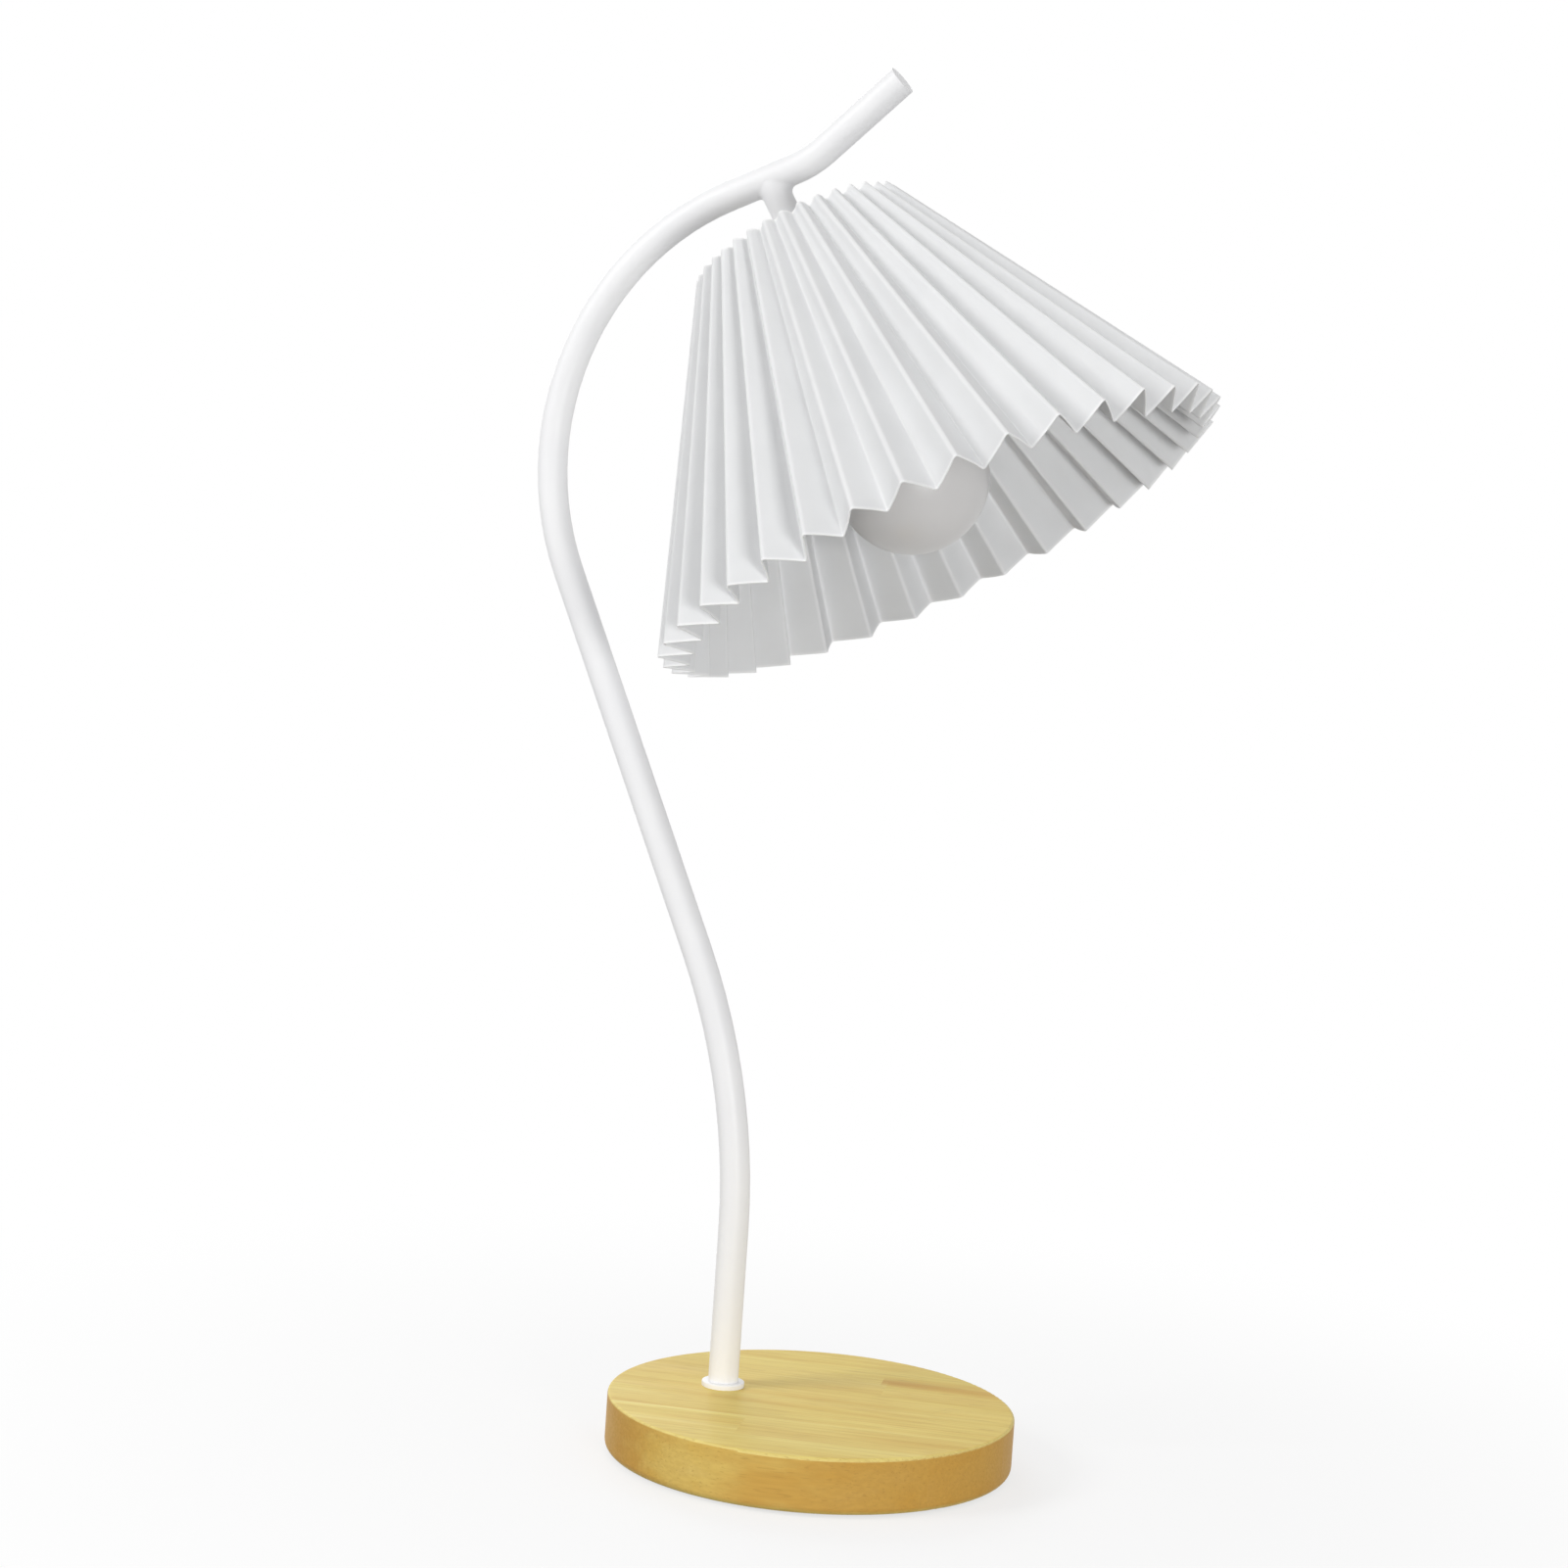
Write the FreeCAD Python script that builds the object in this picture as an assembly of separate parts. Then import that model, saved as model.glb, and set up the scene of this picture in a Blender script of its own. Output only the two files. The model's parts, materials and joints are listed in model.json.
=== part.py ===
import FreeCAD, Part
import math
import os

V = FreeCAD.Vector

# Base: a wooden disc on a soft pad
base_diameter = 160.0
wood_thickness = 21.6
pad_thickness = 1.0
pad_margin = 4.0
base_top_edge_radius = 1.2
base_bottom_edge_radius = 3.0

# Pocket under the base for the foot's fixing and the terminal block
pocket_depth = 13.5
pocket_front_reach = 14.0
pocket_rear_reach = 27.0
pocket_half_width = 14.0
pocket_corner_radius = 4.0

# Cord inlet in the base's rear edge
inlet_height = 9.0
inlet_bore = 6.2
inlet_bush_diameter = 10.0
inlet_flange_diameter = 14.0
inlet_flange_thickness = 1.5

# Stem: one bent tube. The arch's corner lies behind the foot and above the base, the neck's corner
# lies ahead of the foot and above the arch's, and the tip lies ahead of and above the neck's
tube_diameter = 12.0
tube_wall = 1.0
foot_edge_distance = 42.0
lower_bend_height = 119.9
lower_bend_radius = 260.0
arch_reach = 140.7
arch_height = 425.6
arch_radius = 112.0
neck_reach = 2.0
neck_rise = 57.0
neck_radius = 41.4
tip_reach = 34.8
tip_rise = 30.8
tip_plug_depth = 6.0
tip_plug_face = 1.0

# Foot fixing
collar_diameter = 17.0
collar_height = 2.0
collar_edge_radius = 0.6
nipple_diameter = 9.9
nipple_bore = 7.0
foot_nipple_grip = 18.0
foot_nipple_tail = 1.0
washer_diameter = 26.0
washer_thickness = 1.2
spring_washer_diameter = 17.0
spring_washer_thickness = 1.8
spring_washer_slit = 1.5
nut_across_flats = 14.0
nut_height = 3.5

# Terminal block and the two inner wires
block_length = 11.0
block_width = 19.0
block_floor_gap = 0.5
block_rear_gap = 1.5
block_pole_pitch = 10.0
block_port_height = 4.6
insert_diameter = 4.4
insert_bore = 2.6
terminal_screw_diameter = 2.4
wire_diameter = 2.0
wire_pair_pitch = 2.6
wire_foot_bend_radius = 2.8
wire_fan_bend_radius = 8.0
wire_fan_length = 5.0
wire_insertion = 6.0
wire_junction_bend_radius = 5.0
wire_post_bend_radius = 2.0

# Branch to the lamp holder, measured along the holder's axis from the stem's centreline
holder_tilt = 31.0
stub_setback = 18.2
stub_diameter = 11.5
stub_wall = 1.0
stub_length = 19.0
weld_radius = 2.5

# Lamp holder
holder_diameter = 39.0
holder_wall = 3.5
cap_height = 17.0
cap_wall = 2.2
cap_boss_diameter = 17.0
cap_boss_height = 5.5
cap_shoulder_height = 9.0
holder_nipple_grip = 11.0
locknut_height = 3.5
body_height = 40.0
flange_diameter = 45.0
flange_thickness = 2.5
flange_drop = 3.0
insulator_drop = 1.5
insulator_thickness = 8.0
ledge_thickness = 2.0
thread_groove_depth = 0.8
thread_groove_pitch = 2.5
post_offset = 9.0
post_diameter = 5.0
post_height = 3.5
post_hole_depth = 2.5
shank_diameter = 3.0
contact_thickness = 0.5
contact_width = 5.0
contact_rise = 3.2
shell_inner_diameter = 27.0
shell_thickness = 0.4
shell_length = 25.0

# Shade: a folded sheet whose folds all run to one apex on the holder's axis. Folding by hand has left
# their steps uneven: they drift once round the shade and ripple twice round it
apex_setback = 48.5
ridge_half_angle = 29.84
valley_half_angle = 26.74
top_rim_distance = 87.3
bottom_rim_distance = 237.5
pleat_count = 36
pleat_phase = 5.2
fold_drift = 4.0
fold_drift_turn = 150.0
fold_ripple = 1.8
fold_ripple_turn = 99.0
sheet_thickness = 0.5

# Shade carrier and the ring that holds it
hub_diameter = 50.0
hub_thickness = 1.5
carrier_wire_diameter = 3.0
spoke_count = 3
ring_diameter = 54.0
ring_height = 9.0
ring_grip_count = 24
ring_grip_diameter = 2.4

# Bulb
bulb_length = 112.0
globe_diameter = 60.0
globe_wall = 1.2
globe_mouth_setback = 16.5
housing_wall = 1.5
housing_start = 28.0
housing_swell = 2.0
cap_skirt_diameter = 26.6
cap_core_diameter = 24.4
cap_skirt_length = 4.0
screw_thread_depth = 0.9
screw_thread_foot = 2.4
screw_thread_crest = 1.0
screw_thread_pitch = 3.629
screw_thread_turns = 3.0
cap_tin_length = 20.0
cap_nose_diameter = 21.0
cap_nose_length = 2.5
cap_metal_thickness = 0.8
bulb_insulator_length = 4.0
button_diameter = 9.0
button_height = 2.0
button_edge_radius = 0.8
button_stem_diameter = 5.0
button_stem_length = 2.5
led_plate_thickness = 1.5

# Clearances
turning_gap = 0.3
seat_gap = 0.05
contact_gap = 0.3
button_gap = 0.15

# Places worked out from the sizes
base_radius = base_diameter / 2
base_top = pad_thickness + wood_thickness
foot_reach = base_radius - foot_edge_distance
pocket_ceiling = pad_thickness + pocket_depth
tube_radius = tube_diameter / 2
tube_bore_radius = tube_radius - tube_wall
port_height = pad_thickness + block_port_height
foot = V(-foot_reach, 0, base_top)
lower_corner = foot + V(0, 0, lower_bend_height)
arch_corner = foot + V(-arch_reach, 0, arch_height)
neck_corner = foot + V(neck_reach, 0, arch_height + neck_rise)
tip = neck_corner + V(tip_reach, 0, tip_rise)
neck_direction = (neck_corner - arch_corner).normalize()
tip_direction = (tip - neck_corner).normalize()
branch = neck_corner - neck_direction * stub_setback
holder_frame = FreeCAD.Placement(branch, FreeCAD.Rotation(V(0, 1, 0), 180 - holder_tilt))

holder_radius = holder_diameter / 2
holder_bore_radius = holder_radius - holder_wall
cap_bottom = stub_length + cap_height
boss_bottom = stub_length + cap_boss_height
locknut_bottom = boss_bottom + locknut_height
insulator_top = cap_bottom + insulator_drop
insulator_face = insulator_top + insulator_thickness
insulator_radius = holder_bore_radius - 2 * seat_gap
shell_inner_radius = shell_inner_diameter / 2
shell_outer_radius = shell_inner_radius + shell_thickness
body_bottom = cap_bottom + body_height
flange_bottom = cap_bottom + flange_drop + flange_thickness
hub_top = flange_bottom + turning_gap
hub_bottom = hub_top + hub_thickness
hub_middle = (hub_top + hub_bottom) / 2
ring_top = hub_bottom + turning_gap
ring_bottom = ring_top + ring_height
contact_top = insulator_face + contact_thickness + contact_rise
bulb_tip = contact_top + contact_gap
globe_radius = globe_diameter / 2
globe_centre = bulb_tip + bulb_length - globe_radius
globe_mouth = globe_centre - globe_mouth_setback
globe_mouth_radius = math.sqrt(globe_radius ** 2 - globe_mouth_setback ** 2)
housing_top = bulb_tip + housing_start


def rounded_wire(corners, radii):
    """Straight runs joined by tangent arcs, one radius for each inner corner."""
    edges = []
    start = corners[0]
    for before, corner, after, radius in zip(corners, corners[1:], corners[2:], radii):
        back = (before - corner).normalize()
        ahead = (after - corner).normalize()
        half_turn = (math.pi - back.getAngle(ahead)) / 2
        reach = radius * math.tan(half_turn)
        inward = (back + ahead).normalize()
        middle = corner + inward * (radius / math.cos(half_turn) - radius)
        arc_start = corner + back * reach
        arc_end = corner + ahead * reach
        edges.append(Part.LineSegment(start, arc_start).toShape())
        edges.append(Part.Arc(arc_start, middle, arc_end).toShape())
        start = arc_end
    edges.append(Part.LineSegment(start, corners[-1]).toShape())
    return Part.Wire(edges)


def rod_along(wire, radius):
    """A round rod swept along a wire of lines and tangent arcs."""
    first = wire.OrderedEdges[0]
    direction = first.tangentAt(first.FirstParameter)
    circle = Part.makeCircle(radius, first.valueAt(first.FirstParameter), direction)
    return wire.makePipeShell([Part.Wire(circle)], True, False)


def post(radius, low, high, x=0.0, y=0.0):
    """A round post along Z from low to high."""
    return Part.makeCylinder(radius, high - low, V(x, y, low))


def ring(inner_radius, outer_radius, low, high, x=0.0, y=0.0):
    """A round ring along Z from low to high."""
    return post(outer_radius, low, high, x, y).cut(post(inner_radius, low, high, x, y))


def turned(edges):
    """A solid turned about Z from a closed outline in the XZ plane."""
    face = Part.Face(Part.Wire(edges))
    return face.revolve(V(0, 0, 0), V(0, 0, 1), 360)


def outline(points):
    """Straight edges through (radius, height) points, in order."""
    corners = [V(radius, 0, height) for radius, height in points]
    return [Part.LineSegment(a, b).toShape() for a, b in zip(corners, corners[1:])]


def turned_polygon(points):
    """A solid turned about Z from (radius, height) corners."""
    return turned(outline(points + points[:1]))


def hexagon_nut(across_flats, bore, low, high, x=0.0, y=0.0):
    """A plain hexagon nut along Z."""
    corner_radius = across_flats / math.sqrt(3)
    corners = []
    for turn in range(7):
        angle = math.radians(60 * turn)
        corners.append(V(x + corner_radius * math.cos(angle), y + corner_radius * math.sin(angle), low))
    prism = Part.Face(Part.makePolygon(corners)).extrude(V(0, 0, high - low))
    return prism.cut(post(bore / 2, low, high, x, y))


def circles_at(shape, height):
    """The shape's edges that lie flat at one height."""
    return [edge for edge in shape.Edges
            if abs(edge.BoundBox.ZMin - height) < 1e-4 and abs(edge.BoundBox.ZMax - height) < 1e-4]


def upright_edges(shape):
    """The shape's straight edges along Z."""
    return [edge for edge in shape.Edges if edge.BoundBox.XLength + edge.BoundBox.YLength < 1e-6]


def on_holder(shape):
    """Put a shape that is drawn along +Z on the holder's axis."""
    moved = shape.copy()
    moved.Placement = holder_frame.multiply(moved.Placement)
    return moved


# Base pieces
def base_disc():
    disc = post(base_radius, pad_thickness, base_top)
    disc = disc.makeFillet(base_top_edge_radius, circles_at(disc, base_top))
    disc = disc.makeFillet(base_bottom_edge_radius, circles_at(disc, pad_thickness))
    pocket = Part.makeBox(pocket_front_reach + pocket_rear_reach, 2 * pocket_half_width, pocket_depth,
                          V(-foot_reach - pocket_rear_reach, -pocket_half_width, pad_thickness))
    pocket = pocket.makeFillet(pocket_corner_radius, upright_edges(pocket))
    foot_hole = post(nipple_diameter / 2 + turning_gap, pocket_ceiling, base_top, -foot_reach)
    inlet_hole = Part.makeCylinder(inlet_bush_diameter / 2 + seat_gap, base_radius - foot_reach,
                                   V(-base_radius, 0, inlet_height), V(1, 0, 0))
    spot_face = Part.makeCylinder(inlet_flange_diameter / 2 + seat_gap, inlet_flange_thickness + turning_gap,
                                  V(-base_radius, 0, inlet_height), V(1, 0, 0))
    return disc.cut([pocket, foot_hole, inlet_hole, spot_face])


def base_pad():
    return post(base_radius - base_bottom_edge_radius - pad_margin, 0, pad_thickness)


def cord_inlet_bush():
    flange_face = -base_radius + turning_gap
    flange = Part.makeCylinder(inlet_flange_diameter / 2, inlet_flange_thickness,
                               V(flange_face, 0, inlet_height), V(1, 0, 0))
    pocket_wall = -foot_reach - pocket_rear_reach
    barrel = Part.makeCylinder(inlet_bush_diameter / 2, pocket_wall - flange_face,
                               V(flange_face, 0, inlet_height), V(1, 0, 0))
    bore = Part.makeCylinder(inlet_bore / 2, pocket_wall - flange_face,
                             V(flange_face, 0, inlet_height), V(1, 0, 0))
    return flange.fuse(barrel).cut(bore).removeSplitter()


# Foot fixing, stacked down from the pocket's ceiling
washer_bottom = pocket_ceiling - washer_thickness
spring_bottom = washer_bottom - spring_washer_thickness
nut_bottom = spring_bottom - nut_height
foot_nipple_bottom = nut_bottom - foot_nipple_tail


def foot_collar():
    collar = ring(tube_radius + seat_gap, collar_diameter / 2, base_top, base_top + collar_height, -foot_reach)
    rim = max(circles_at(collar, base_top + collar_height), key=lambda edge: edge.Length)
    return collar.makeFillet(collar_edge_radius, [rim])


def foot_nipple():
    return ring(nipple_bore / 2, nipple_diameter / 2, foot_nipple_bottom, base_top + foot_nipple_grip,
                -foot_reach)


def foot_washer():
    return ring(nipple_diameter / 2 + turning_gap, washer_diameter / 2, washer_bottom, pocket_ceiling,
                -foot_reach)


def foot_spring_washer():
    washer = ring(nipple_diameter / 2 + turning_gap, spring_washer_diameter / 2, spring_bottom, washer_bottom,
                  -foot_reach)
    slit = Part.makeBox(spring_washer_slit, spring_washer_diameter, spring_washer_thickness,
                        V(-foot_reach - spring_washer_slit / 2, 0, spring_bottom))
    return washer.cut(slit)


def foot_nut():
    return hexagon_nut(nut_across_flats, nipple_diameter + 2 * seat_gap, nut_bottom, spring_bottom,
                       -foot_reach)


# Terminal block in the rear of the pocket
block_rear = -foot_reach - pocket_rear_reach + block_rear_gap
block_front = block_rear + block_length
pole_places = [block_pole_pitch / 2, -block_pole_pitch / 2]
screw_places = [block_rear + block_length / 4, block_front - block_length / 4]
insert_bottom = port_height - insert_diameter / 2


def bar_along_x(diameter, y):
    return Part.makeCylinder(diameter / 2, block_length, V(block_rear, y, port_height), V(1, 0, 0))


def terminal_block():
    block_bottom = pad_thickness + block_floor_gap
    block = Part.makeBox(block_length, block_width, pocket_ceiling - block_bottom,
                         V(block_rear, -block_width / 2, block_bottom))
    holes = [bar_along_x(insert_diameter + 2 * seat_gap, y) for y in pole_places]
    for x in screw_places:
        holes += [post(terminal_screw_diameter / 2 + seat_gap, block_bottom, port_height, x, y)
                  for y in pole_places]
    return block.cut(holes)


def terminal_inserts():
    inserts = []
    for y in pole_places:
        insert = bar_along_x(insert_diameter, y).cut(bar_along_x(insert_bore, y))
        holes = [post(terminal_screw_diameter / 2 + seat_gap, insert_bottom, port_height, x, y)
                 for x in screw_places]
        inserts.append(insert.cut(holes))
    return Part.makeCompound(inserts)


def terminal_screws():
    screw_top = port_height - wire_diameter / 2 - seat_gap
    screw_bottom = pad_thickness + block_floor_gap
    return Part.makeCompound([post(terminal_screw_diameter / 2, screw_bottom, screw_top, x, y)
                              for x in screw_places for y in pole_places])


# Stem, its tip and the branch
stem_corners = [foot, lower_corner, arch_corner, neck_corner, tip]
stem_radii = [lower_bend_radius, arch_radius, neck_radius]


def stem_tube():
    path = rounded_wire(stem_corners, stem_radii)
    branch_hole = on_holder(post(stub_diameter / 2 - stub_wall, 0, tube_diameter))
    return rod_along(path, tube_radius).cut([rod_along(path, tube_bore_radius), branch_hole])


def stem_tip_plug():
    inside = Part.makeCylinder(tube_bore_radius - seat_gap, tip_plug_depth, tip, tip_direction * -1)
    face = Part.makeCylinder(tube_radius, tip_plug_face, tip, tip_direction)
    return inside.fuse(face).removeSplitter()


def neck_run():
    """The stem's outer cylinder along its straight run, to well past the branch on both sides."""
    half_run = tube_diameter + stub_diameter
    return Part.makeCylinder(tube_radius, 2 * half_run, branch - neck_direction * half_run, neck_direction)


def holder_stub():
    stub = on_holder(ring(stub_diameter / 2 - stub_wall, stub_diameter / 2, 0, stub_length))
    return stub.cut(neck_run())


def stub_weld():
    run = neck_run()
    stub = on_holder(post(stub_diameter / 2, 0, stub_length))
    joined = run.fuse(stub).removeSplitter()
    seam = [edge for edge in joined.Edges if edge.Curve.TypeId == "Part::GeomBSplineCurve"]
    return joined.makeFillet(weld_radius, seam).cut([run, stub])


# Inner wires: through the base, up the stem and down the branch into the holder
def inner_wire(side):
    pair = side * wire_pair_pitch / 2
    pole = side * block_pole_pitch / 2
    aside = V(0, pair, 0)
    post_top = insulator_top - post_height
    fan_top = locknut_bottom + wire_diameter / 2
    corners = [
        V(block_front - wire_insertion, pole, port_height),
        V(block_front + wire_fan_length, pole, port_height),
        V(-foot_reach, pair, port_height),
        lower_corner + aside,
        arch_corner + aside,
        branch + aside,
        holder_frame.multVec(V(0, pair, fan_top)),
        holder_frame.multVec(V(0, side * post_offset, post_top - wire_post_bend_radius)),
        holder_frame.multVec(V(0, side * post_offset, post_top + post_hole_depth - seat_gap)),
    ]
    radii = [wire_fan_bend_radius, wire_foot_bend_radius, lower_bend_radius, arch_radius,
             wire_junction_bend_radius, wire_post_bend_radius, wire_post_bend_radius]
    return rod_along(rounded_wire(corners, radii), wire_diameter / 2)


# Lamp holder, drawn along its own axis from the stem's centreline
def holder_nipple():
    return ring(nipple_bore / 2, stub_diameter / 2 - stub_wall - seat_gap,
                stub_length - holder_nipple_grip, locknut_bottom)


def holder_locknut():
    bore = stub_diameter - 2 * stub_wall
    return hexagon_nut(nut_across_flats, bore, boss_bottom, locknut_bottom)


def holder_cap():
    shoulder = stub_length + cap_shoulder_height
    return turned_polygon([
        (stub_diameter / 2 - stub_wall, stub_length),
        (cap_boss_diameter / 2, stub_length),
        (holder_radius - cap_wall, shoulder - cap_wall),
        (holder_radius, shoulder),
        (holder_radius, cap_bottom),
        (holder_radius - cap_wall, cap_bottom),
        (holder_radius - cap_wall, shoulder),
        (cap_boss_diameter / 2 + cap_wall, boss_bottom),
        (stub_diameter / 2 - stub_wall, boss_bottom),
    ])


def holder_body():
    groove_step = thread_groove_pitch / 2
    groove_count = int((body_bottom - ring_bottom) / thread_groove_pitch)
    thread = []
    for turn in range(groove_count):
        height = ring_bottom + turn * thread_groove_pitch
        thread.append((holder_radius, height))
        thread.append((holder_radius - thread_groove_depth, height + groove_step))
    ledge_radius = shell_outer_radius + turning_gap
    return turned_polygon([
        (holder_bore_radius, cap_bottom),
        (holder_radius, cap_bottom),
        (holder_radius, cap_bottom + flange_drop),
        (flange_diameter / 2, cap_bottom + flange_drop),
        (flange_diameter / 2, flange_bottom),
        (holder_radius, flange_bottom),
    ] + thread + [
        (holder_radius, body_bottom),
        (holder_bore_radius, body_bottom),
        (holder_bore_radius, insulator_face + ledge_thickness),
        (ledge_radius, insulator_face + ledge_thickness),
        (ledge_radius, insulator_face),
        (holder_bore_radius, insulator_face),
    ])


def holder_insulator():
    disc = post(insulator_radius, insulator_top, insulator_face)
    return disc.cut([post(shank_diameter / 2 + seat_gap, insulator_top, insulator_face, 0, y)
                     for y in (post_offset, -post_offset)])


def holder_posts():
    posts = []
    post_top = insulator_top - post_height
    for y in (post_offset, -post_offset):
        head = post(post_diameter / 2, post_top, insulator_top, 0, y)
        shank = post(shank_diameter / 2, insulator_top, insulator_face + contact_thickness, 0, y)
        hole = post(wire_diameter / 2 + seat_gap, post_top, post_top + post_hole_depth, 0, y)
        posts.append(head.fuse(shank).cut(hole))
    return Part.makeCompound(posts)


def centre_contact():
    face = insulator_face
    thick = contact_thickness
    seat_end = post_offset + post_diameter / 2
    bend = post_offset - post_diameter / 2
    nose = contact_width / 2
    profile = [(seat_end, face), (seat_end, face + thick), (bend, face + thick), (nose, contact_top),
               (-nose, contact_top), (-nose, contact_top - thick), (nose, contact_top - thick), (bend, face)]
    corners = [V(-contact_width / 2, y, height) for y, height in profile + profile[:1]]
    strip = Part.Face(Part.makePolygon(corners)).extrude(V(contact_width, 0, 0))
    return strip.cut(post(shank_diameter / 2 + seat_gap, face, contact_top, 0, post_offset))


def screw_shell():
    tab_root = shell_inner_radius + shell_thickness / 2
    wall = ring(shell_inner_radius, shell_outer_radius, insulator_face, insulator_face + shell_length)
    tab = Part.makeBox(contact_width, tab_root - post_offset + post_diameter / 2, contact_thickness,
                       V(-contact_width / 2, -tab_root, insulator_face))
    hole = post(shank_diameter / 2 + seat_gap, insulator_face, contact_top, 0, -post_offset)
    return wall.fuse(tab).cut(hole).removeSplitter()


# Shade, carrier and screw ring
def fold_direction(half_angle, turn):
    half = math.radians(half_angle)
    return V(math.sin(half) * math.cos(turn), math.sin(half) * math.sin(turn), math.cos(half))


half_pleat = math.pi / pleat_count
panel_normal = fold_direction(ridge_half_angle, 0).cross(fold_direction(valley_half_angle, half_pleat))
panel_normal.normalize()
sheet_shift = V(0, 0, sheet_thickness / abs(panel_normal.z))
apex = V(0, 0, -apex_setback)


def fold_turn(fold):
    """A fold's place round the axis: an even step, with its drift and its ripple."""
    even = math.radians(pleat_phase) + fold * half_pleat
    drift = fold_drift * math.cos(even - math.radians(fold_drift_turn))
    ripple = fold_ripple * math.cos(2 * (even - math.radians(fold_ripple_turn)))
    return even + math.radians(drift + ripple)


def pleated_shade():
    folds = []
    for fold in range(2 * pleat_count):
        half_angle = valley_half_angle if fold % 2 else ridge_half_angle
        direction = fold_direction(half_angle, fold_turn(fold))
        folds.append((apex + direction * top_rim_distance, apex + direction * bottom_rim_distance))
    faces = []
    for (top_a, bottom_a), (top_b, bottom_b) in zip(folds, folds[1:] + folds[:1]):
        panel = [top_a, top_b, bottom_b, bottom_a]
        inside = [corner + sheet_shift for corner in panel]
        top_edge = [top_a, top_b, top_b + sheet_shift, top_a + sheet_shift]
        bottom_edge = [bottom_a, bottom_b, bottom_b + sheet_shift, bottom_a + sheet_shift]
        for corners in (panel, inside, top_edge, bottom_edge):
            faces.append(Part.Face(Part.makePolygon(corners + corners[:1])))
    shell = Part.makeShell(faces)
    shell.sewShape()
    solid = Part.makeSolid(shell)
    if solid.Volume < 0:
        solid.reverse()
    return solid


def shade_carrier():
    wire_radius = carrier_wire_diameter / 2
    valley = math.radians(valley_half_angle)
    valley_radius = (hub_middle + apex_setback - sheet_shift.z) * math.tan(valley)
    loop_radius = valley_radius - (wire_radius + seat_gap) / math.cos(valley)
    hub = ring(holder_radius + turning_gap, hub_diameter / 2, hub_top, hub_bottom)
    loop = Part.makeTorus(loop_radius, wire_radius, V(0, 0, hub_middle))
    carrier = hub.fuse(loop)
    spoke_start = hub_diameter / 2 - carrier_wire_diameter
    for spoke in range(spoke_count):
        turn = 2 * math.pi * spoke / spoke_count
        outward = V(math.cos(turn), math.sin(turn), 0)
        rod = Part.makeCylinder(hub_thickness / 2, loop_radius - spoke_start,
                                outward * spoke_start + V(0, 0, hub_middle), outward)
        carrier = carrier.fuse(rod)
    return carrier


def shade_ring():
    body = ring(holder_radius + seat_gap, ring_diameter / 2, ring_top, ring_bottom)
    grips = []
    for grip in range(ring_grip_count):
        turn = 2 * math.pi * grip / ring_grip_count
        grips.append(post(ring_grip_diameter / 2, ring_top, ring_bottom,
                          ring_diameter / 2 * math.cos(turn), ring_diameter / 2 * math.sin(turn)))
    return body.cut(grips)


# Bulb, from its contact to the end of its globe
tin_start = housing_top - cap_tin_length
insulator_start = bulb_tip + button_height
stem_end = insulator_start + button_stem_length


def bulb_contact_button():
    head = post(button_diameter / 2, bulb_tip, insulator_start - button_gap)
    head = head.makeFillet(button_edge_radius, circles_at(head, bulb_tip))
    return head.fuse(post(button_stem_diameter / 2, bulb_tip + button_edge_radius, stem_end - button_gap))


def bulb_insulator():
    inner = button_stem_diameter / 2 + button_gap
    nose_radius = cap_nose_diameter / 2 - cap_metal_thickness
    return turned_polygon([
        (inner, insulator_start),
        (button_diameter / 2 + button_gap, insulator_start),
        (nose_radius, insulator_start + bulb_insulator_length - cap_metal_thickness),
        (nose_radius, stem_end + bulb_insulator_length),
        (inner, stem_end + bulb_insulator_length),
    ])


def bulb_screw_cap():
    core = cap_core_diameter / 2
    nose = cap_nose_diameter / 2
    metal = cap_metal_thickness
    skirt_top = housing_top - cap_skirt_length
    nose_top = insulator_start + bulb_insulator_length - metal
    cap = turned_polygon([
        (nose - metal + seat_gap, nose_top),
        (nose, nose_top),
        (core, tin_start + cap_nose_length),
        (core, skirt_top),
        (cap_skirt_diameter / 2, skirt_top + metal),
        (cap_skirt_diameter / 2, housing_top),
        (core - metal, housing_top),
        (core - metal, tin_start + cap_nose_length + metal),
        (nose - metal + seat_gap, stem_end + bulb_insulator_length),
    ])
    thread_bottom = tin_start + cap_nose_length + screw_thread_foot / 2
    helix = Part.makeHelix(screw_thread_pitch, screw_thread_pitch * screw_thread_turns, core)
    foot_half = screw_thread_foot / 2
    crest_half = screw_thread_crest / 2
    sunk = core - metal / 2
    crest = core + screw_thread_depth
    corners = [V(sunk, 0, -foot_half), V(crest, 0, -crest_half), V(crest, 0, crest_half), V(sunk, 0, foot_half)]
    rib = Part.Wire(helix.Edges).makePipeShell([Part.makePolygon(corners + corners[:1])], True, True)
    rib.translate(V(0, 0, thread_bottom))
    return cap.fuse(rib)


def bulb_housing():
    start = V(cap_skirt_diameter / 2 + housing_wall / 2, 0, housing_top)
    end = V(globe_mouth_radius, 0, globe_mouth)
    swell = (start + end) * 0.5 + V(-housing_swell, 0, housing_swell)
    inward = V(-housing_wall, 0, 0)
    edges = [
        Part.Arc(start, swell, end).toShape(),
        Part.LineSegment(end, end + inward).toShape(),
        Part.Arc(end + inward, swell + inward, start + inward).toShape(),
        Part.LineSegment(start + inward, start).toShape(),
    ]
    return turned(edges)


def globe_arc(radius, start, end):
    """The globe's profile of one radius, by way of its widest point."""
    return Part.Arc(start, V(radius, 0, globe_centre), end).toShape()


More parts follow.
